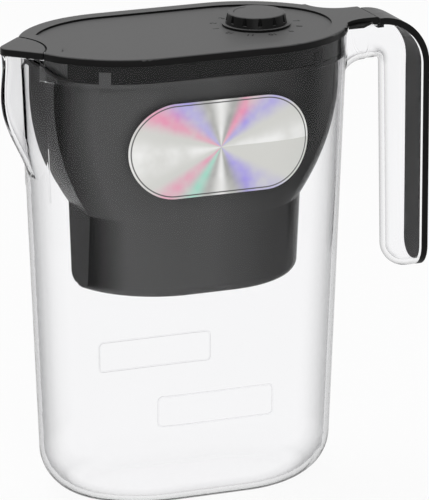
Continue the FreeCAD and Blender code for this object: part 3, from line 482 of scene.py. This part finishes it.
def wall_at(tree, x, z, side):
    """The point and normal of a wall's front (side -1) or back (side 1) at a length and height."""
    hit, normal, _, _ = tree.ray_cast(Vector((x, side * RAY_START, z)), Vector((0, -side, 0)))
    return hit, normal


def outline(x0, x1, z0, z1, corner, steps=8):
    """Points of a rounded rectangle in the XZ plane."""
    left, right = x0 + corner, x1 - corner
    bottom, top = z0 + corner, z1 - corner
    centres = [(right, top), (left, top), (left, bottom), (right, bottom)]
    points = []
    for quarter, (x, z) in enumerate(centres):
        for step in range(steps + 1):
            angle = math.pi / 2 * (quarter + step / steps)
            points.append((x + corner * math.cos(angle), z + corner * math.sin(angle)))
    return points


def dense(points, gap):
    """The closed outline with points at most gap apart, so that it can follow a curved wall."""
    result = []
    for (x0, z0), (x1, z1) in zip(points, points[1:] + points[:1]):
        count = max(1, math.ceil(math.hypot(x1 - x0, z1 - z0) / gap))
        for step in range(count):
            part = step / count
            result.append((x0 + (x1 - x0) * part, z0 + (z1 - z0) * part))
    return result


RIDGE_SIDES = 6
RIDGE_LIFT = 0.02 * MM


def ridge_on(name, tree, points, side, width, height):
    """A low ridge with a rounded back along a closed outline on a wall."""
    grid = bmesh.new()
    rings = []
    spots = [wall_at(tree, x, z, side) for x, z in points]
    count = len(spots)
    for number, (hit, normal) in enumerate(spots):
        along = (spots[(number + 1) % count][0] - spots[number - 1][0]).normalized()
        across = normal.cross(along).normalized()
        ring = []
        for part in range(RIDGE_SIDES + 1):
            angle = math.pi * part / RIDGE_SIDES
            lift = normal * (RIDGE_LIFT + height * math.sin(angle))
            ring.append(grid.verts.new(hit + lift + across * (width / 2 * math.cos(angle))))
        rings.append(ring)
    for number, ring in enumerate(rings):
        after = rings[(number + 1) % count]
        for part in range(RIDGE_SIDES + 1):
            other = (part + 1) % (RIDGE_SIDES + 1)
            grid.faces.new((ring[part], ring[other], after[other], after[part]))
    mesh = mesh_from(name, grid)
    for face in mesh.polygons:
        face.use_smooth = True
    return mesh


# Edges of the two bare plates on the jug's long walls
jug_surface = surface_of("jug_body")
PLATE = {"x0": -36.0 * MM, "x1": 30.7 * MM, "z0": 50.5 * MM, "z1": 67.5 * MM, "corner": 2.5 * MM}
PLATE_STEP = 2.0 * MM
PLATE_EDGE_WIDTH = 0.9 * MM
PLATE_EDGE_HEIGHT = 0.35 * MM
plate_outline = dense(outline(**PLATE), PLATE_STEP)
for name, side in (("front_plate_edge", -1), ("back_plate_edge", 1)):
    turned = [(x * -side, z) for x, z in plate_outline]
    mesh = ridge_on(name, jug_surface, turned, side, PLATE_EDGE_WIDTH, PLATE_EDGE_HEIGHT)
    piece_from(name, mesh, CLEAR, "jug")


def patch_on(name, tree, x0, x1, z0, z1, foot, side, lift, thick, columns=8, rows=6):
    """A thin plate that follows a wall between two heights and goes straight down below its foot."""
    grid = bmesh.new()
    layers = []
    for depth in (lift, lift + thick):
        layer = []
        for row in range(rows + 1):
            line = []
            for column in range(columns + 1):
                x = x0 + (x1 - x0) * column / columns
                z = z0 + (z1 - z0) * row / rows
                hit, normal = wall_at(tree, x, max(z, foot), side)
                hit.z = z
                line.append(grid.verts.new(hit + normal * depth))
            layer.append(line)
        layers.append(layer)
    for layer in layers:
        for here, above in zip(layer, layer[1:]):
            for column in range(columns):
                grid.faces.new((here[column], here[column + 1], above[column + 1], above[column]))
    edge = [(0, column) for column in range(columns)]
    edge += [(row, columns) for row in range(rows)]
    edge += [(rows, column) for column in range(columns, 0, -1)]
    edge += [(row, 0) for row in range(rows, 0, -1)]
    for (r0, c0), (r1, c1) in zip(edge, edge[1:] + edge[:1]):
        grid.faces.new((layers[0][r0][c0], layers[0][r1][c1], layers[1][r1][c1], layers[1][r0][c0]))
    return mesh_from(name, grid)


# Tongues of the reservoir that stand up between the liner and the jug's mouth
liner_surface = surface_of("lid_liner")
LINER_LOW = low("lid_liner", 2)
LINER_FOOT = LINER_LOW + 0.1 * MM
TONGUE_LOW = LINER_LOW - 2.2 * MM
TONGUE_TOP = LINER_LOW + 6.3 * MM
TONGUE_HALF = 2.8 * MM
TONGUE_LIFT = 0.25 * MM
TONGUE_THICK = 0.18 * MM
TONGUE_PLACES = {"spout": -62.6 * MM, "handle": 60.0 * MM}
for end, x in TONGUE_PLACES.items():
    for side_name, side in (("front", -1), ("back", 1)):
        name = f"tongue_{end}_{side_name}"
        mesh = patch_on(name, liner_surface, x - TONGUE_HALF, x + TONGUE_HALF, TONGUE_LOW, TONGUE_TOP,
                        LINER_FOOT, side, TONGUE_LIFT, TONGUE_THICK)
        piece_from(name, mesh, SMOKE, "tank")


# Stage: pale floor, studio light, lamps and camera
def ray_kind(tree, kinds):
    """1 for rays of the given kinds, 0 for the rest."""
    path = tree.nodes.new("ShaderNodeLightPath")
    seen = path.outputs[kinds[0]]
    for kind in kinds[1:]:
        seen = reckon(tree, "MAXIMUM", seen, path.outputs[kind])
    return seen


def blended(tree, factor, first, second):
    """A mix of two shaders."""
    blend = tree.nodes.new("ShaderNodeMixShader")
    tree.links.new(factor, blend.inputs["Fac"])
    tree.links.new(first.outputs[0], blend.inputs[1])
    tree.links.new(second.outputs[0], blend.inputs[2])
    return blend.outputs[0]


# White for the eye, gloss and glass; other rays meet a bright card in front, one behind and a dim sky
SEEN_RAYS = ["Is Camera Ray", "Is Glossy Ray", "Is Transmission Ray"]
STUDIO_SIDE = 0.05
STUDIO_CARDS = 1.7
STUDIO_FOCUS = 4.0
STUDIO_SKY = 0.3
world = bpy.data.worlds.new("studio")
bpy.context.scene.world = world
world.use_nodes = True
tree = world.node_tree
tree.nodes.clear()
output = tree.nodes.new("ShaderNodeOutputWorld")
white = tree.nodes.new("ShaderNodeBackground")
white.inputs["Color"].default_value = grey(1.0)
studio = tree.nodes.new("ShaderNodeBackground")
studio.inputs["Color"].default_value = grey(1.0)
direction = tree.nodes.new("ShaderNodeTexCoord")
split = tree.nodes.new("ShaderNodeSeparateXYZ")
tree.links.new(direction.outputs["Generated"], split.inputs[0])
ahead = reckon(tree, "POWER", reckon(tree, "ABSOLUTE", split.outputs["Y"]), STUDIO_FOCUS)
sky = reckon(tree, "MULTIPLY", reckon(tree, "MAXIMUM", split.outputs["Z"], 0.0), STUDIO_SKY)
level = reckon(tree, "ADD", reckon(tree, "MULTIPLY", ahead, STUDIO_CARDS), sky)
tree.links.new(reckon(tree, "ADD", level, STUDIO_SIDE), studio.inputs["Strength"])
background = blended(tree, ray_kind(tree, SEEN_RAYS), studio, white)
tree.links.new(background, output.inputs["Surface"])

FLOOR_SIZE = 6.0
FLOOR_GLOW = 0.93
FLOOR_DROP = 0.2 * MM
floor_mesh = bpy.data.meshes.new("floor")
half = FLOOR_SIZE / 2
floor_corners = [(-half, -half, 0), (half, -half, 0), (half, half, 0), (-half, half, 0)]
floor_mesh.from_pydata(floor_corners, [], [(0, 1, 2, 3)])
floor = placed("floor", floor_mesh)
floor.location.z = -FLOOR_DROP
paper = bpy.data.materials.new("paper")
paper.use_nodes = True
tree = paper.node_tree
shader = tree.nodes["Principled BSDF"]
shader.inputs["Base Color"].default_value = grey(0.85)
shader.inputs["Roughness"].default_value = 0.9
shader.inputs["Specular IOR Level"].default_value = 0.0
glow = tree.nodes.new("ShaderNodeEmission")
glow.inputs["Color"].default_value = grey(1.0)
seen = reckon(tree, "MULTIPLY", ray_kind(tree, SEEN_RAYS), FLOOR_GLOW)
surface = blended(tree, seen, shader, glow)
tree.links.new(surface, tree.nodes["Material Output"].inputs["Surface"])
floor_mesh.materials.append(paper)


LAMP_AIM = Vector((0.0, 0.0, 0.13))


def lamp(name, place, size, power):
    """A round soft lamp that isn't seen itself, aimed at the middle of the jug."""
    light = bpy.data.lights.new(name, "AREA")
    light.shape = "DISK"
    light.size = size
    light.energy = power
    holder = placed(name, light)
    holder.location = place
    holder.rotation_euler = (LAMP_AIM - Vector(place)).to_track_quat("-Z", "Y").to_euler()
    holder.visible_camera = False
    holder.visible_transmission = False


lamp("top_lamp", place=(-0.3, 0.5, 1.9), size=1.6, power=15.0)
lamp("front_lamp", place=(-0.7, -2.0, 0.8), size=1.2, power=8.0)

# Camera fitted to the photograph, 429 by 500 pixels
PHOTO_HEIGHT = 500
FOCAL_PIXELS = 5319.65
CAMERA_PLACE = Vector((-1.04526, -2.60398, 0.95753))
CAMERA_AZIMUTH = math.radians(-22.21)
CAMERA_ELEVATION = math.radians(16.38)
SENSOR_WIDTH = 36.0
VIEW_DEPTH = 20.0
camera_data = bpy.data.cameras.new("camera")
camera_data.sensor_width = SENSOR_WIDTH
camera_data.lens = FOCAL_PIXELS / PHOTO_HEIGHT * SENSOR_WIDTH
camera_data.clip_end = VIEW_DEPTH
camera = placed("camera", camera_data)
camera.location = CAMERA_PLACE
camera.rotation_euler = (math.pi / 2 - CAMERA_ELEVATION, 0.0, CAMERA_AZIMUTH)
bpy.context.scene.camera = camera
bpy.context.scene.view_settings.view_transform = "Standard"
